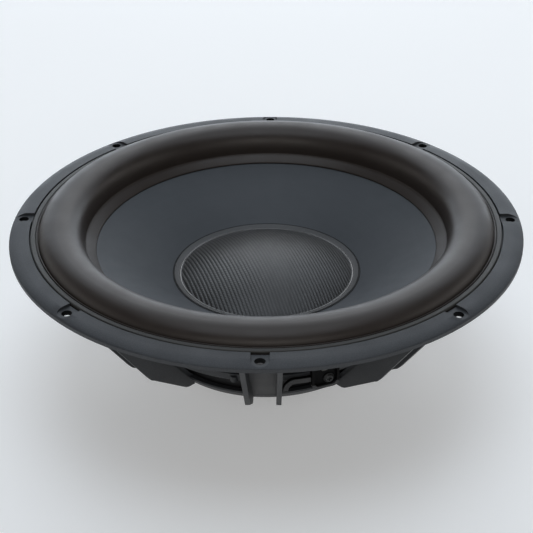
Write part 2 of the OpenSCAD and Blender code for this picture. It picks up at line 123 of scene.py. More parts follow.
def lathe(outline, steps=TURN_STEPS):
    """Points and faces of a closed outline of (radius, height), turned about the speaker axis."""
    radius, height = np.array(outline, float).T
    area = np.sum(radius * np.roll(height, -1) - np.roll(radius, -1) * height)
    if area < 0:
        radius, height = radius[::-1], height[::-1]
    angle = np.arange(steps) * 2 * math.pi / steps
    points = np.stack([np.outer(np.cos(angle), radius), np.outer(np.sin(angle), radius),
                       np.tile(height, (steps, 1))], -1).reshape(-1, 3)
    row = np.arange(steps)[:, None] * len(radius)
    next_row = np.roll(row, -1, 0)
    here = np.arange(len(radius))
    there = np.roll(here, -1)
    faces = np.stack([row + here, next_row + here, next_row + there, row + there], -1).reshape(-1, 4)
    return points, faces


def grid_faces(rows, columns):
    """Faces between neighbouring points of a grid, numbered row by row, closed round each row."""
    row = np.arange(rows - 1)[:, None] * columns
    here = np.arange(columns)
    there = (here + 1) % columns
    after = row + columns
    return np.stack([row + here, row + there, after + there, after + here], -1).reshape(-1, 4)


def add_mesh(name, points, faces, material, slot):
    """A smooth-shaded mesh object from points in millimetres."""
    mesh = bpy.data.meshes.new(name)
    mesh.from_pydata((np.asarray(points) * MM).tolist(), [], [list(map(int, f)) for f in faces])
    mesh.polygons.foreach_set("use_smooth", np.ones(len(mesh.polygons), bool))
    mesh.set_sharp_from_angle(angle=SHARP_ANGLE)
    mesh.materials.append(material)
    piece = bpy.data.objects.new(name, mesh)
    bpy.context.scene.collection.objects.link(piece)
    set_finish(piece, slot)
    return piece


def join_parts(parts):
    """Several (points, faces) as one list of points and one of faces."""
    points, faces, count = [], [], 0
    for part_points, part_faces in parts:
        points.append(np.asarray(part_points, float))
        faces += [[int(v) + count for v in face] for face in part_faces]
        count += len(part_points)
    return np.concatenate(points), faces


def tube(path, radius, sides=8):
    """Points and faces of a closed tube of the given radius along a path. The radius may vary."""
    path = np.asarray(path, float)
    radius = np.broadcast_to(radius, len(path))
    along = np.gradient(path, axis=0)
    along /= np.linalg.norm(along, axis=1)[:, None]
    side = np.cross(along, (0, 0, 1))
    side /= np.linalg.norm(side, axis=1)[:, None]
    up = np.cross(side, along)
    turn = np.arange(sides) * 2 * math.pi / sides
    ring = np.cos(turn)[None, :, None] * side[:, None] + np.sin(turn)[None, :, None] * up[:, None]
    points = (path[:, None] + radius[:, None, None] * ring).reshape(-1, 3)
    faces = [list(f)[::-1] for f in grid_faces(len(path), sides)]
    last = (len(path) - 1) * sides
    faces += [list(range(sides)), [last + k for k in reversed(range(sides))]]
    return points, faces


def stretch_with_travel(piece, moving_r, fixed_r):
    """Bakes the piece's transform and reads its points; it does not make the piece follow the cone or the
    basket. moving_r and fixed_r (in mm) are not used.
    """
    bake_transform(piece)
    place = np.zeros(len(piece.data.vertices) * 3)
    piece.data.vertices.foreach_get("co", place)


def polar(radius, az, height):
    """A point at a radius, angle and height, in the order that the CAD model uses."""
    return np.array([radius * math.sin(math.radians(az)), -radius * math.cos(math.radians(az)), height])


def soften(node, width):
    """Rounds the edges of a CAD node with modifiers, and leaves its mesh as it is."""
    obj = frame["nodes"][node]
    weld = obj.modifiers.new("weld", "WELD")
    weld.merge_threshold = 1e-6
    flatten = obj.modifiers.new("flatten", "DECIMATE")
    flatten.decimate_type = "DISSOLVE"
    flatten.angle_limit = math.radians(0.5)
    bevel = obj.modifiers.new("bevel", "BEVEL")
    bevel.limit_method = "ANGLE"
    bevel.angle_limit = BEVEL_ANGLE
    bevel.width = width * MM
    bevel.segments = 2
    bevel.miter_outer = "MITER_ARC"
    normals = obj.modifiers.new("normals", "WEIGHTED_NORMAL")
    normals.weight = 50


# ---- Finishes ----


class Finish:
    """A material with one Principled shader, built up one effect at a time."""

    def __init__(self, title, colour, roughness, **sockets):
        self.material = bpy.data.materials.new(title)
        self.material.use_nodes = True
        self.tree = self.material.node_tree
        self.shader = self.tree.nodes["Principled BSDF"]
        self.colour = (*colour, 1)
        self.shader.inputs["Base Color"].default_value = self.colour
        self.shader.inputs["Roughness"].default_value = roughness
        names = {socket.name.lower().replace(" ", "_"): socket for socket in self.shader.inputs}
        for name, value in sockets.items():
            names[name].default_value = value
        self.place = self.add("ShaderNodeTexCoord").outputs["Object"]

    def add(self, kind, settings=(), **inputs):
        """A node with its settings and inputs. An input is a number, or another node's output."""
        node = self.tree.nodes.new(kind)
        for key, value in dict(settings).items():
            setattr(node, key, value)
        for key, value in inputs.items():
            socket = node.inputs[int(key[1:])] if key[1:].isdigit() else node.inputs[key]
            self.feed(socket, value)
        return node

    def feed(self, socket, value):
        if isinstance(value, bpy.types.NodeSocket):
            self.tree.links.new(value, socket)
        else:
            socket.default_value = value

    def maths(self, operation, *values):
        node = self.add("ShaderNodeMath", {"operation": operation},
                        **{f"_{i}": v for i, v in enumerate(values)})
        return node.outputs[0]

    def ramp(self, value, low, high, to_low=0.0, to_high=1.0):
        """The value mapped smoothly from low..high to to_low..to_high."""
        node = self.add("ShaderNodeMapRange", {"interpolation_type": "SMOOTHSTEP"}, Value=value,
                        **{"From Min": low, "From Max": high, "To Min": to_low, "To Max": to_high})
        return node.outputs[0]

    def stretched(self, x=1, y=1, z=1, turn=0.0):
        """Object coordinates scaled along each axis, after a turn about Z in degrees."""
        turned = self.add("ShaderNodeMapping", {"vector_type": "TEXTURE"}, Vector=self.place,
                          Rotation=(0, 0, math.radians(turn)))
        node = self.add("ShaderNodeMapping", Vector=turned.outputs[0], Scale=(x, y, z))
        return node.outputs[0]

    def polar_place(self, turns=1.0):
        """Coordinates round the speaker axis: (angle times the turns, radius, height), in metres."""
        parts = self.add("ShaderNodeSeparateXYZ", Vector=self.place)
        x, y, z = parts.outputs
        radius = self.maths("SQRT", self.maths("ADD", self.maths("MULTIPLY", x, x),
                                               self.maths("MULTIPLY", y, y)))
        angle = self.maths("MULTIPLY", self.maths("ARCTAN2", y, x), turns)
        return self.add("ShaderNodeCombineXYZ", X=angle, Y=radius, Z=z).outputs[0], radius

    def noise(self, grain_mm, detail=3.0, place=None):
        """Noise whose features are about grain_mm wide."""
        node = self.add("ShaderNodeTexNoise", Vector=place or self.place, Scale=1 / (grain_mm * MM),
                        Detail=detail, Roughness=0.55)
        return node.outputs["Fac"]

    def tint(self, value, low, high):
        """Base colour from low to high times the finish's own colour, as the value goes from 0 to 1."""
        mix = self.add("ShaderNodeMix", {"data_type": "RGBA"})
        self.feed(mix.inputs["Factor"], value)
        base = self.shader.inputs["Base Color"]
        for socket, share in (("A", low), ("B", high)):
            target = [s for s in mix.inputs if s.name == socket and s.type == "RGBA"][0]
            target.default_value = (*[min(1, c * share) for c in self.colour[:3]], 1)
        self.tree.links.new([s for s in mix.outputs if s.type == "RGBA"][0], base)
        return self

    def gloss(self, value, low, high):
        """Roughness from low to high as the value goes from 0 to 1."""
        self.tree.links.new(self.ramp(value, 0, 1, low, high), self.shader.inputs["Roughness"])
        return self

    def relief(self, height, depth_mm, strength=1.0):
        """Bump from a height of 0..1, stacked on the bumps made before it."""
        node = self.add("ShaderNodeBump", Height=height, Distance=depth_mm * MM, Strength=strength)
        normal = self.shader.inputs["Normal"]
        if normal.is_linked:
            self.tree.links.new(normal.links[0].from_socket, node.inputs["Normal"])
        self.tree.links.new(node.outputs[0], normal)
        return self


def textured_paint(name, colour, grain_mm, roughness, painted_shade):
    """Grained paint, a little uneven in gloss. The last argument gives painted shade: how light each place
    is drawn, from 0 to 1, which scales the colour and the specular.
    """
    finish = Finish(name, colour, roughness, specular_ior_level=0.45)
    grain = finish.noise(grain_mm, 4)
    patches = finish.noise(22, 2)
    # painted shade: colour and specular are scaled down where the mask is low
    light = painted_shade(finish)
    tone = finish.maths("MULTIPLY", light, finish.ramp(grain, 0.35, 0.7, 0.62, 1.0))
    finish.tint(tone, 0.0, 1.25)
    finish.feed(finish.shader.inputs["Specular IOR Level"], finish.maths("MULTIPLY", light, 0.45))
    finish.gloss(patches, roughness - 0.07, roughness + 0.09)
    finish.relief(patches, 0.12, 0.3)
    finish.relief(grain, 0.09, 0.75)
    return finish.material


def hole_wall_painted_shade(finish):
    """Painted shade for the flange's screw holes: 1 on the paint, and low on the walls of the holes, which
    are darkened as if in shadow.
    """
    _, radius = finish.polar_place()
    parts = finish.add("ShaderNodeSeparateXYZ", Vector=finish.place)
    angle = finish.maths("ARCTAN2", parts.outputs[1], parts.outputs[0])
    fold = finish.maths("PINGPONG", angle, math.radians(HOLE_STEP_AZ / 2))
    along = finish.maths("SUBTRACT", finish.maths("MULTIPLY", radius, finish.maths("COSINE", fold)),
                         HOLE_CIRCLE_R * MM)
    across = finish.maths("MULTIPLY", radius, finish.maths("SINE", fold))
    away = finish.maths("SQRT", finish.maths("ADD", finish.maths("MULTIPLY", along, along),
                                             finish.maths("MULTIPLY", across, across)))
    return finish.ramp(away, HOLE_R * MM, (HOLE_R + 0.15) * MM, 0.12, 1)


def recess_painted_shade(finish):
    """Painted shade on the bracket: 1 on its lower rim and arm, and low on its upper part and the face of
    its recess, which are darkened as if in shadow.
    """
    _, radius = finish.polar_place()
    raised = finish.ramp(radius, (RECESS_R - 0.3) * MM, (RECESS_R + 0.3) * MM, 0, 1)
    parts = finish.add("ShaderNodeSeparateXYZ", Vector=finish.place)
    turn = math.radians(TERMINAL_AZ)
    across = finish.maths("ADD", finish.maths("MULTIPLY", parts.outputs[0], math.cos(turn)),
                          finish.maths("MULTIPLY", parts.outputs[1], math.sin(turn)))
    arm = finish.ramp(across, (ARM_END - 0.2) * MM, (ARM_END + 0.2) * MM, 1, 0)
    low_rim = finish.ramp(parts.outputs[2], (LOW_RIM_TOP_Z - 0.75) * MM, (LOW_RIM_TOP_Z + 0.75) * MM, 1, 0)
    light = finish.maths("MULTIPLY", raised, finish.maths("MAXIMUM", arm, low_rim))
    return finish.ramp(light, 0, 1, 0.14, 1)


def moulded_rubber(name, colour, roughness, sheen=0.25):
    """Soft moulded rubber: fine grain, a dusty sheen and slow changes of gloss."""
    finish = Finish(name, colour, roughness, sheen_weight=sheen, sheen_roughness=0.45,
                    specular_ior_level=0.42, specular_tint=(1.0, 0.95, 0.9, 1))
    grain = finish.noise(0.28, 3)
    patches = finish.noise(14, 3)
    finish.tint(patches, 0.86, 1.14)
    finish.gloss(patches, roughness - 0.06, roughness + 0.08)
    finish.relief(grain, 0.03, 0.5)
    return finish.material


def satin_polymer(name, colour, roughness):
    """Moulded cone material: smooth, with a very fine grain and faint flow marks round the axis."""
    finish = Finish(name, colour, roughness, specular_ior_level=0.5)
    grain = finish.noise(0.22, 3)
    rings, _ = finish.polar_place(0.004)
    flow = finish.noise(3.2, 3, place=rings)
    finish.tint(flow, 0.93, 1.07)
    finish.gloss(finish.noise(9, 3), roughness - 0.04, roughness + 0.05)
    finish.relief(flow, 0.03, 0.35)
    finish.relief(grain, 0.018, 0.45)
    return finish.material


def twill(name, colour, rib_mm, turn, roughness, edge_r):
    """Twill cloth of fibre in resin, with a smooth grey rim beyond edge_r and a painted highlight as a
    light ring on the rim's lip. Ribs run along the turned Y.
    """
    finish = Finish(name, colour, roughness, coat_weight=0.16, coat_roughness=0.32,
                    specular_ior_level=0.55)
    scale = 1 / (rib_mm * MM)
    parts = finish.add("ShaderNodeSeparateXYZ", Vector=finish.stretched(scale, scale, scale, turn))
    across, along, _ = parts.outputs
    wander = finish.ramp(finish.noise(9, 1), 0, 1, -0.05, 0.05)
    rib = finish.ramp(finish.maths("PINGPONG", finish.maths("ADD", across, wander), 0.5), 0.05, 0.4)
    crossings = finish.maths("PINGPONG", finish.maths("ADD", along, across), 0.5)
    height = finish.maths("MULTIPLY", rib, finish.ramp(crossings, 0.04, 0.3, 0.75, 1.0))
    _, radius = finish.polar_place()
    cloth = finish.ramp(radius, (edge_r - 0.5) * MM, edge_r * MM, 1, 0)
    fibres = finish.noise(0.3, 3)
    patches = finish.noise(7, 4)
    speckle = finish.ramp(fibres, 0.25, 0.75, 0.55, 1.3)
    weave = finish.maths("MULTIPLY", finish.ramp(height, 0, 1, 0.11, 0.38), speckle)
    weave = finish.maths("MULTIPLY", weave, finish.ramp(patches, 0.3, 0.7, 0.7, 1.15))
    # painted highlight: the rim is tinted lighter in a thin ring where its lip catches light
    line_r, line_half_w = edge_r + 0.55, 0.45
    painted_highlight = finish.maths("COMPARE", radius, line_r * MM, line_half_w * MM)
    rim = finish.maths("ADD", 0.16, finish.maths("MULTIPLY", painted_highlight, 0.8))
    mix = finish.add("ShaderNodeMix", {"data_type": "FLOAT"}, Factor=cloth, A=rim, B=weave)
    finish.tint(mix.outputs[0], 0.6, 2.6)
    finish.gloss(mix.outputs[0], roughness + 0.14, roughness - 0.3)
    finish.relief(finish.maths("MULTIPLY", height, cloth), 0.3, 0.9)
    finish.relief(fibres, 0.02, 0.4)
    return finish.material


def plain_weave(name, colour, thread_mm, roughness=0.85):
    """Plain woven cloth stiffened with resin."""
    finish = Finish(name, colour, roughness, sheen_weight=0.3, sheen_roughness=0.5)
    scale = math.pi / (thread_mm * MM)
    parts = finish.add("ShaderNodeSeparateXYZ", Vector=finish.stretched(scale, scale, scale))
    waves = finish.maths("MULTIPLY", finish.maths("SINE", parts.outputs[0]),
                         finish.maths("SINE", parts.outputs[1]))
    height = finish.maths("ABSOLUTE", waves)
    resin = finish.noise(5, 3)
    finish.tint(finish.maths("MULTIPLY", height, finish.ramp(resin, 0.3, 0.7, 0.75, 1.1)), 0.6, 1.25)
    finish.gloss(resin, roughness - 0.2, roughness + 0.05)
    finish.relief(height, 0.14, 0.8)
    return finish.material


def turned_metal(name, colour, roughness, metallic=1.0, line_mm=0.25):
    """Turned or plated metal, with fine tool lines round the axis."""
    finish = Finish(name, colour, roughness, metallic=metallic)
    rings, _ = finish.polar_place(0.002)
    lines = finish.noise(line_mm, 2, place=rings)
    stains = finish.noise(12, 4)
    finish.tint(stains, 0.85, 1.12)
    finish.gloss(lines, roughness - 0.08, roughness + 0.12)
    finish.relief(lines, 0.012, 0.6)
    return finish.material


def worn_metal(name, colour, roughness, metallic=1.0, grain_mm=0.5):
    """Small metal parts: plating with light scratches and slightly uneven gloss."""
    finish = Finish(name, colour, roughness, metallic=metallic)
    scratches = finish.noise(grain_mm, 4, place=finish.stretched(1, 7, 2, 30))
    stains = finish.noise(4, 3)
    finish.tint(stains, 0.82, 1.12)
    finish.gloss(scratches, roughness - 0.08, roughness + 0.16)
    finish.relief(scratches, 0.012, 0.5)
    return finish.material


def bead(name, colour, roughness):
    """A cured bead of adhesive, glossy and slightly lumpy."""
    finish = Finish(name, colour, roughness, specular_ior_level=0.15)
    lumps = finish.noise(2.5, 2)
    finish.tint(lumps, 0.8, 1.25)
    finish.gloss(lumps, roughness - 0.1, roughness + 0.15)
    finish.relief(lumps, 0.25, 0.6)
    return finish.material


def paper(name, colour):
    """Kraft paper with short fibres."""
    finish = Finish(name, colour, 0.85)
    fibres = finish.noise(0.7, 4, place=finish.stretched(1, 1, 4))
    finish.tint(fibres, 0.75, 1.2)
    finish.gloss(fibres, 0.75, 0.95)
    finish.relief(fibres, 0.05, 0.5)
    return finish.material


def film(name, colour):
    """Amber film over glass cloth, seen on the coil former."""
    finish = Finish(name, colour, 0.35, coat_weight=0.4, coat_roughness=0.15)
    streaks = finish.noise(1.6, 3, place=finish.stretched(1, 1, 6))
    finish.tint(streaks, 0.75, 1.2)
    finish.gloss(streaks, 0.28, 0.45)
    finish.relief(streaks, 0.03, 0.4)
    return finish.material


def braid_cloth(name, colour):
    """Tinsel conductor: fine metal foil wound on textile threads."""
    finish = Finish(name, colour, 0.42, metallic=0.75)
    strands = finish.noise(0.22, 3)
    finish.tint(strands, 0.6, 1.25)
    finish.gloss(strands, 0.3, 0.6)
    finish.relief(strands, 0.05, 0.7)
    return finish.material


# The spider, top plate and blades are darker than such parts are, as painted shade: it keeps the windows
# into the basket dark and glints off the blades.
finishes = {
    "cast_black": textured_paint("cast_black", (0.030, 0.032, 0.035), 0.5, 0.52, hole_wall_painted_shade),
    "surround_rubber": moulded_rubber("surround_rubber", (0.0225, 0.0165, 0.0135), 0.43, 0.0),
    "trim_rubber": moulded_rubber("trim_rubber", (0.028, 0.028, 0.026), 0.5, 0.1),
    "cone_polymer": satin_polymer("cone_polymer", (0.035, 0.040, 0.046), 0.56),
    "woven_fibre": twill("woven_fibre", (0.022, 0.020, 0.018), 2.1, 19, 0.35, 53.3),
    "black_adhesive": bead("black_adhesive", (0.004, 0.004, 0.004), 0.5),
    "former_film": film("former_film", (0.42, 0.25, 0.08)),
    "copper_wire": turned_metal("copper_wire", (0.72, 0.28, 0.12), 0.28),
    "kraft_collar": paper("kraft_collar", (0.40, 0.28, 0.16)),
    "solder_pads": worn_metal("solder_pads", (0.75, 0.72, 0.68), 0.25),
    "spider_cloth": plain_weave("spider_cloth", (0.012, 0.011, 0.010), 0.7),
    "plated_steel": turned_metal("plated_steel", (0.014, 0.014, 0.015), 0.5, 0.0),
    "nickel_magnet": turned_metal("nickel_magnet", (0.60, 0.60, 0.58), 0.22),
    "bare_aluminium": turned_metal("bare_aluminium", (0.80, 0.80, 0.82), 0.35),
    "black_steel": turned_metal("black_steel", (0.030, 0.030, 0.032), 0.42, 0.0, 0.4),
    "cover_rubber": moulded_rubber("cover_rubber", (0.020, 0.020, 0.020), 0.6),
    "black_screws": worn_metal("black_screws", (0.030, 0.030, 0.032), 0.38, 0.3),
    "screen_steel": worn_metal("screen_steel", (0.030, 0.030, 0.030), 0.5, 0.2),
    "bracket_plastic": textured_paint("bracket_plastic", (0.032, 0.032, 0.033), 0.35, 0.48, recess_painted_shade),
    "dark_screw": worn_metal("dark_screw", (0.007, 0.007, 0.007), 0.45, 0.0),
    "gold_blade": worn_metal("gold_blade", (0.34, 0.24, 0.11), 0.42),
    "nickel_blade": worn_metal("nickel_blade", (0.09, 0.088, 0.082), 0.45),
    "tinsel_braid": braid_cloth("tinsel_braid", (0.55, 0.44, 0.32)),
}

for part in frame["record"]["subparts"]:
    for material_slot in frame["nodes"][part["node"]].material_slots:
        material_slot.material = finishes[part["material_slot"]]


def replace(node, piece, body=None):
    """Shows the piece in place of a CAD node, and attaches it to the body if one is given."""
    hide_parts(node)
    if body:
        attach(piece, body)
    return piece


# ---- Surround ----

_, surround_high = cad_mm("surround")
crest_r = 126
crest_z = surround_high.z
surround_t = 1.5
seat_z = 1.6
flat_z = seat_z + surround_t
outer_half_w = 11.4
inner_foot_z, inner_half_w, inner_power = -5, 15.8, 2.5
inner_foot_r = crest_r - inner_half_w
flat_inner_r = 134
ridge_r, ridge_w, ridge_top_z = 138.1, 0.7, 4.5
cone_rim_r, cone_rim_z, cone_slope = 109.5, -7.3, 0.488
lip_inner_r, lip_t, glue_gap = 103.8, 1, 0.3


def cone_z(radius):
    """Height of the cone's front face."""
    return cone_rim_z - cone_slope * (cone_rim_r - radius)


def bow(foot_z, half_w, top_z, power, start, end, steps):
    """Part of a superellipse about the crest's column, from one angle to another in degrees."""
    angle = np.radians(np.linspace(start, end, steps + 1))
    across = np.sign(np.cos(angle)) * half_w * np.abs(np.cos(angle)) ** (2 / power)
    return np.stack([crest_r + across, foot_z + (top_z - foot_z) * np.abs(np.sin(angle)) ** (2 / power)], 1)


def surround_outline():
    """The roll with its glued lip on the cone, and its flat outer part with a moulded ridge."""
    roll_steps = 30
    low_z = crest_z - surround_t
    top = np.concatenate([
        bow(flat_z, outer_half_w, crest_z, 2, 0, 88, roll_steps),
        bow(inner_foot_z, inner_half_w, crest_z, inner_power, 90, 180, roll_steps)])
    under = np.concatenate([
        bow(inner_foot_z, inner_half_w - surround_t, low_z, inner_power, 180, 90, roll_steps),
        bow(flat_z, outer_half_w - surround_t, low_z, 2, 88, 0, roll_steps)])
    ridge = rounded([(ridge_r + ridge_w / 2, flat_z), (ridge_r + ridge_w / 2, ridge_top_z),
                     (ridge_r - ridge_w / 2, ridge_top_z), (ridge_r - ridge_w / 2, flat_z)], 0.3)[2:-2]
    flat = np.concatenate([[(flat_inner_r, flat_z), (flat_inner_r, seat_z), (surround_high.x, seat_z),
                            (surround_high.x, flat_z)], ridge])
    lip_top = glue_gap + lip_t
    fillet_r, lip_start_r = inner_foot_r - 0.3, inner_foot_r - 1.4
    lip = [(fillet_r, cone_z(fillet_r) + lip_top + 0.4), (lip_start_r, cone_z(lip_start_r) + lip_top),
           (lip_inner_r + 0.5, cone_z(lip_inner_r + 0.5) + lip_top),
           (lip_inner_r, cone_z(lip_inner_r) + lip_top - 0.4),
           (lip_inner_r, cone_z(lip_inner_r) + glue_gap),
           (cone_rim_r + 0.5, cone_z(cone_rim_r + 0.5) + glue_gap),
           (inner_foot_r + surround_t - 0.2, cone_z(inner_foot_r + surround_t) + lip_t)]
    return np.concatenate([flat, top, lip, under])


surround = add_mesh("surround_roll", *lathe(surround_outline(), 320), finishes["surround_rubber"],
                    "surround_rubber")
replace("surround", surround)
stretch_with_travel(surround, moving_r=111, fixed_r=137)

# ---- Cone, dust cap and the bead round it ----

cone_t = 1.6
former_outer_r = 38.5
neck_r, neck_low_z = 39.7, -45
cone_outline = rounded([
    (cone_rim_r, cone_z(cone_rim_r)), (cone_rim_r, cone_z(cone_rim_r) - cone_t),
    (neck_r, cone_z(neck_r) - cone_t), (neck_r, neck_low_z), (former_outer_r + 0.05, neck_low_z),
    (former_outer_r + 0.05, cone_z(former_outer_r))], 0.35)
cone = add_mesh("cone_body", *lathe(cone_outline), finishes["cone_polymer"], "cone_polymer")
replace("cone", cone, MOVING)

cap_r, cap_dome_r, cap_rise, cap_t = 57.5, 53.4, 12.5, 0.9
cap_base_z = cone_z(cap_dome_r) + 1.2
cap_sphere_r = (cap_dome_r ** 2 + cap_rise ** 2) / (2 * cap_rise)
rib_pitch, rib_az, rib_depth = 2.1, 19, 0.1


def cap_height(radius, sphere_r):
    """Height of the dome, or of its inner face for a smaller sphere."""
    centre_z = cap_base_z + cap_rise - cap_sphere_r
    return centre_z + np.sqrt(sphere_r ** 2 - radius ** 2)


def dome():
    """The woven dome with its twill ribs raised, closed by its inner face and the glued rim."""
    dome_steps, dome_rings = 480, 120
    angle = np.arange(dome_steps) * 2 * math.pi / dome_steps
    radius = np.linspace(0.6, cap_dome_r - 0.5, dome_rings)
    x = np.outer(radius, np.cos(angle))
    y = np.outer(radius, np.sin(angle))
    across = x * math.cos(math.radians(rib_az)) + y * math.sin(math.radians(rib_az))
    fade = smoothstep((cap_dome_r - 0.8 - radius) / 2)[:, None]
    relief = rib_depth * (0.5 + 0.5 * np.cos(2 * math.pi * across / rib_pitch)) * fade
    z = cap_height(radius, cap_sphere_r)[:, None] + relief - rib_depth
    top = np.stack([x, y, z], -1)
    edge = [(cap_dome_r - 0.1, cap_base_z + 0.30), (cap_dome_r + 0.15, cap_base_z + 0.42),
            (cap_dome_r + 0.45, cap_base_z + 0.5), (cap_dome_r + 0.75, cap_base_z + 0.42),
            (cap_dome_r + 1.0, cone_z(cap_dome_r + 1.0) + cap_t + 0.1),
            (cap_dome_r + 1.4, cone_z(cap_dome_r + 1.4) + cap_t),
            (cap_r - 0.5, cone_z(cap_r - 0.5) + cap_t), (cap_r - 0.12, cone_z(cap_r) + cap_t - 0.1),
            (cap_r, cone_z(cap_r) + cap_t - 0.4), (cap_r, cone_z(cap_r) + 0.05),
            (cap_dome_r - 2.2, cone_z(cap_dome_r - 2.2) + 0.05), (cap_dome_r - 2.2, cap_base_z)]
    inner_r = np.linspace(cap_dome_r - 3, 0.6, 24)
    under = [(r, cap_height(r, cap_sphere_r - cap_t)) for r in inner_r]
    rest_r, rest_z = np.array(edge + under).T
    rest = np.stack([np.outer(rest_r, np.cos(angle)), np.outer(rest_r, np.sin(angle)),
                     np.tile(rest_z[:, None], dome_steps)], -1)
    points = np.concatenate([top, rest]).reshape(-1, 3)
    rows = dome_rings + len(rest_r)
    faces = [list(f)[::-1] for f in grid_faces(rows, dome_steps)]
    centres = [(0, 0, cap_height(0, cap_sphere_r) - rib_depth / 2),
               (0, 0, cap_height(0, cap_sphere_r - cap_t))]
    top_centre, low_centre = len(points), len(points) + 1
    last = (rows - 1) * dome_steps
    for k in range(dome_steps):
        after = (k + 1) % dome_steps
        faces += [[top_centre, k, after], [low_centre, last + after, last + k]]
    return np.concatenate([points, centres]), faces


dust_cap = add_mesh("dust_cap_dome", *dome(), finishes["woven_fibre"], "woven_fibre")
replace("dust_cap", dust_cap, MOVING)


def uneven_bead(outline, steps, swell):
    """A lathed bead whose width swells and shrinks slowly round the axis."""
    points, faces = lathe(outline, steps)
    angle = np.arctan2(points[:, 1], points[:, 0])
    middle = np.mean(np.array(outline), axis=0)
    lumps = 0.5 * np.sin(7 * angle + 1) + 0.3 * np.sin(17 * angle) + 0.2 * np.sin(41 * angle + 2)
    wave = 1 + swell * lumps
    radius = np.hypot(points[:, 0], points[:, 1])
    new_radius = middle[0] + (radius - middle[0]) * wave
    points[:, :2] *= (new_radius / radius)[:, None]
    points[:, 2] = middle[1] + (points[:, 2] - middle[1]) * wave
    return points, faces


bead_w = 1.2
cap_bead_outline = rounded([
    (cap_r + 0.03, cone_z(cap_r) + 0.03), (cap_r + 0.03, cone_z(cap_r) + 0.62),
    (cap_r + 0.5, cone_z(cap_r) + 0.66), (cap_r + bead_w, cone_z(cap_r + bead_w) + 0.03)], 0.3)
cap_bead = add_mesh("cap_bead", *uneven_bead(cap_bead_outline, 384, 0.06), finishes["black_adhesive"],
                    "black_adhesive")
replace("cap_adhesive", cap_bead, MOVING)

# ---- Voice coil ----

winding_low, winding_high = cad_mm("coil_winding")
wire_d = 0.5


def winding_outline():
    """The outer layer of wire as a row of half rounds, closed at the former."""
    turns = int((winding_high.z - winding_low.z) / wire_d)
    pitch = (winding_high.z - winding_low.z) / turns
    outer_r = winding_high.x - pitch / 2
    points = [(former_outer_r + 0.02, winding_low.z), (outer_r, winding_low.z)]
    for turn in range(turns):
        for k in range(1, 5):
            angle = math.pi * (k / 4 - 0.5)
            points.append((outer_r + pitch / 2 * math.cos(angle),
                           winding_low.z + (turn + 0.5) * pitch + pitch / 2 * math.sin(angle)))
    points.append((former_outer_r + 0.02, winding_high.z))
    return points


winding = add_mesh("winding_turns", *lathe(winding_outline(), 160), finishes["copper_wire"], "copper_wire")
replace("coil_winding", winding, MOVING)

neck_bead_outline = rounded([(former_outer_r + 0.02, neck_low_z - 0.03), (neck_r - 0.15, neck_low_z - 0.03),
                             (former_outer_r + 0.45, neck_low_z - 0.55),
                             (former_outer_r + 0.02, neck_low_z - 0.95)], 0.2)
neck_bead = add_mesh("neck_bead", *uneven_bead(neck_bead_outline, 192, 0.04), finishes["black_adhesive"],
                     "black_adhesive")
replace("neck_adhesive", neck_bead, MOVING)

# ---- Spider ----

_, spider_high = cad_mm("spider")
spider_z, spider_wave, spider_waves, spider_t = -49.9, 1.7, 6, 0.7
spider_in_r, spider_out_r = 39.1, spider_high.x
spider_flat_w = 5
shelf_top_z = -50.7


def spider_outline():
    """Concentric waves of cloth between a collar on the former and a flat rim on the shelf."""
    start, end = spider_in_r + 1.5, spider_out_r - spider_flat_w
    t = np.linspace(0, 1, spider_waves * 20 + 1)
    radius = start + (end - start) * t
    middle = spider_z - spider_wave * np.sin(2 * math.pi * spider_waves * t)
    half = spider_t / 2
    top = np.stack([radius, middle + half], 1)
    under = np.stack([radius, middle - half], 1)[::-1]
    return np.concatenate([
        [(spider_in_r, spider_z - half - 0.8), (spider_in_r, spider_z + half)], top,
        [(spider_out_r, spider_z + half), (spider_out_r, shelf_top_z), (end + 0.5, shelf_top_z)], under,
        [(spider_in_r + 0.6, spider_z - half - 0.8)]])


spider = add_mesh("spider_cloth", *lathe(spider_outline(), 240), finishes["spider_cloth"], "spider_cloth")
replace("spider", spider)
lead_travel = {"moving_r": 42, "fixed_r": 82}
stretch_with_travel(spider, **lead_travel)

# ---- Tinsel leads and their solder joints ----

pad_az, blade_offset = 8, 4.5
lead_r, lead_bow = 0.9, 3
lead_start_r, lead_end_r = 40.4, 89.5
lead_start_z, lead_end_z = -46.4, -39.7


def lead_route(side, steps=90):
    """Middle line of a lead, from its pad on the former to its blade."""
    end_az = math.degrees(math.asin(blade_offset / lead_end_r))
    route = []
    for s in np.linspace(0, 1, steps + 1):
        ease = s * s * (3 - 2 * s)
        az = TERMINAL_AZ + side * (pad_az + (end_az - pad_az) * ease)
        bow_up = lead_bow * math.sin(math.pi * s) * (1 - s)
        height = lead_start_z + (lead_end_z - lead_start_z) * ease + bow_up
        route.append(polar(lead_start_r + (lead_end_r - lead_start_r) * s, az, height))
    return np.array(route)


def braid(route, radius):
    """Strands wound both ways round a core, passing over and under each other."""
    strands, wire_r, pitch = 6, radius * 0.2, 7.0
    along = np.gradient(route, axis=0)
    along /= np.linalg.norm(along, axis=1)[:, None]
    side = np.cross(along, (0, 0, 1))
    side /= np.linalg.norm(side, axis=1)[:, None]
    up = np.cross(side, along)
    length = np.concatenate([[0], np.cumsum(np.linalg.norm(np.diff(route, axis=0), axis=1))])
    parts = [tube(route, radius * 0.62, 10)]
    for way in (-1, 1):
        for k in range(strands):
            turn = way * 2 * math.pi * length / pitch + 2 * math.pi * k / strands
            lift = 0.09 * radius * way * np.sin(turn * strands / 2)
            reach = (radius - wire_r - 0.1 * radius + lift)[:, None]
            parts.append(tube(route + reach * (np.cos(turn)[:, None] * side + np.sin(turn)[:, None] * up),
                              wire_r, 5))
    return join_parts(parts)


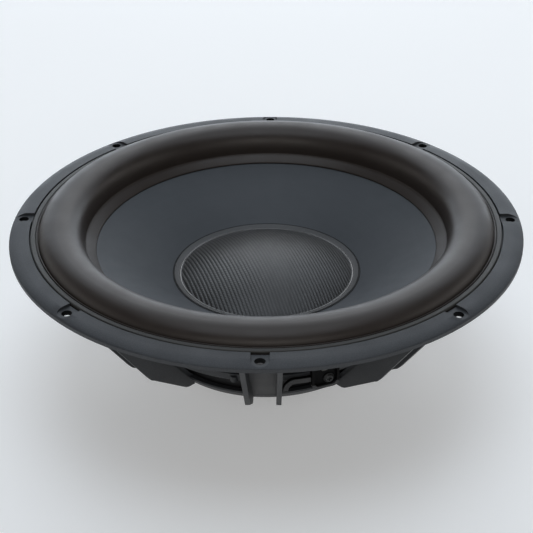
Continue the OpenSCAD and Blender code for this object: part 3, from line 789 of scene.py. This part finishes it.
def blob(centre, size, lumps=0.08):
    """A small smooth lump of solder, flattened along Z."""
    rows, columns = 14, 20
    points = []
    for i in range(1, rows):
        tilt = math.pi * i / rows
        for k in range(columns):
            turn = 2 * math.pi * k / columns
            swell = 1 + lumps * math.sin(3 * turn + 2 * tilt)
            points.append([size[0] * math.sin(tilt) * math.cos(turn) * swell,
                           size[1] * math.sin(tilt) * math.sin(turn) * swell, size[2] * math.cos(tilt)])
    faces = [list(f) for f in grid_faces(rows - 1, columns)]
    top, bottom = len(points), len(points) + 1
    last = (rows - 2) * columns
    for k in range(columns):
        after = (k + 1) % columns
        faces += [[top, after, k], [bottom, last + k, last + after]]
    points += [[0, 0, size[2]], [0, 0, -size[2]]]
    faces = [f[::-1] for f in faces]
    return np.array(points) + np.array(centre), faces


for side, sign in (("positive", 1), ("negative", -1)):
    route = lead_route(sign)
    lead = add_mesh(f"tinsel_braid_{side}", *braid(route, lead_r), finishes["tinsel_braid"], "tinsel_braid")
    replace(f"tinsel_lead_{side}", lead)
    stretch_with_travel(lead, **lead_travel)
    blade_drop = blob(route[-1] + [0, 0, -0.5], (1.5, 1.5, 0.7))
    blade_joint = add_mesh(f"solder_blade_{side}", *blade_drop, finishes["solder_pads"], "solder_pads")
    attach(blade_joint, FIXED)
    coil_drop = blob(polar(39.6, TERMINAL_AZ + sign * pad_az, lead_start_z), (0.9, 0.9, 1.2))
    coil_joint = add_mesh(f"solder_coil_{side}", *coil_drop, finishes["solder_pads"], "solder_pads")
    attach(coil_joint, MOVING)

# ---- CAD nodes that stay, with their edges rounded ----

edge_widths = {
    "basket": 0.45, "trim_ring": 0.25, "top_plate": 0.4, "magnet_ring": 0.4, "shorting_ring": 0.3,
    "back_plate_and_pole": 0.4, "motor_cover": 0.3, "motor_screws": 0.25, "terminal_bracket": 0.25,
    "terminal_screw": 0.12, "blade_terminal_positive": 0.12, "blade_terminal_negative": 0.12,
    "vent_screen": 0.1,
}
for node, width in edge_widths.items():
    soften(node, width)

# ---- Floor, light and camera ----


def pale_floor():
    """A wide pale floor that curves up far away from the object."""
    flat_r, cove_r = 7.0, 2.5
    floor_z = cad_box[0].z
    steps, rows = 96, 16
    angle = np.arange(steps) * 2 * math.pi / steps
    outline = [(0.01, 0.0), (flat_r / 3, 0.0), (flat_r, 0.0)]
    for k in range(1, rows + 1):
        turn = math.pi / 2 * k / rows
        outline.append((flat_r + cove_r * math.sin(turn), cove_r * (1 - math.cos(turn))))
    radius, height = np.array(outline).T
    points = np.stack([np.outer(radius, np.cos(angle)), np.outer(radius, np.sin(angle)),
                       np.tile((height + floor_z)[:, None], steps)], -1).reshape(-1, 3)
    faces = [list(f) for f in grid_faces(len(outline), steps)] + [list(reversed(range(steps)))]
    finish = Finish("pale_floor", (0.80, 0.80, 0.79), 0.75, specular_ior_level=0.2,
                    emission_color=(1, 1, 1, 1), emission_strength=0.26)
    finish.tint(finish.noise(400, 2), 0.985, 1.015)
    floor = add_mesh("floor", points / MM, faces, finish.material, "cast_black")
    del floor["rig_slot"]


def softbox(name, place, aim, size, power, colour=(1, 1, 1)):
    """A rectangular soft light at a place, facing a point."""
    light = bpy.data.lights.new(name, "AREA")
    light.shape = "RECTANGLE"
    light.size, light.size_y = size
    light.energy = power
    light.color = colour
    lamp = bpy.data.objects.new(name, light)
    lamp.location = place
    lamp.rotation_mode = "QUATERNION"
    lamp.rotation_quaternion = (Vector(aim) - Vector(place)).to_track_quat("-Z", "Y")
    bpy.context.scene.collection.objects.link(lamp)


def studio():
    pale_floor()
    cool = (0.86, 0.95, 1.06)
    world = bpy.data.worlds.new("studio")
    world.use_nodes = True
    backdrop = world.node_tree.nodes["Background"]
    backdrop.inputs["Color"].default_value = (0.95, 0.97, 1.0, 1)
    backdrop.inputs["Strength"].default_value = 0.02
    bpy.context.scene.world = world
    centre = (0, 0, 0)
    softbox("back_low", (0, 3.2, 0.45), centre, (5.0, 0.9), 36, cool)
    softbox("back_mid", (0, 2.6, 1.25), centre, (4.0, 1.0), 12, cool)
    softbox("back_centre", (0, 2.6, 1.35), centre, (1.2, 0.6), 5)
    softbox("back_high", (0, 2.0, 2.2), centre, (3.0, 1.0), 17, cool)
    softbox("overhead", (0, 0, 2.6), centre, (2.0, 2.0), 25, cool)
    softbox("front_fill", (0, -2.6, 1.4), centre, (3.0, 1.0), 19)
    softbox("left_fill", (-2.8, 0.3, 1.0), centre, (3.0, 1.0), 8)
    softbox("right_fill", (2.8, 0.3, 1.0), centre, (3.0, 1.0), 11)
    scene = bpy.context.scene
    scene.view_settings.view_transform = "Standard"
    scene.view_settings.look = "None"


def photo_camera():
    """Camera at the photographed angle: 31 degrees above the flange, looking along +Y."""
    place = Vector((16.56, -639.99, 354.5)) * MM
    aim = Vector((1.44, -55.68, 3.0)) * MM
    roll = math.radians(-0.628)
    camera = bpy.data.cameras.new("camera")
    camera.sensor_width = 36
    camera.lens = 80.71
    camera.clip_start, camera.clip_end = 0.01, 40
    viewer = bpy.data.objects.new("camera", camera)
    viewer.location = place
    viewer.rotation_mode = "QUATERNION"
    viewer.rotation_quaternion = (aim - place).to_track_quat("-Z", "Y") @ Quaternion((0, 0, 1), roll)
    bpy.context.scene.collection.objects.link(viewer)
    bpy.context.scene.camera = viewer


studio()
photo_camera()
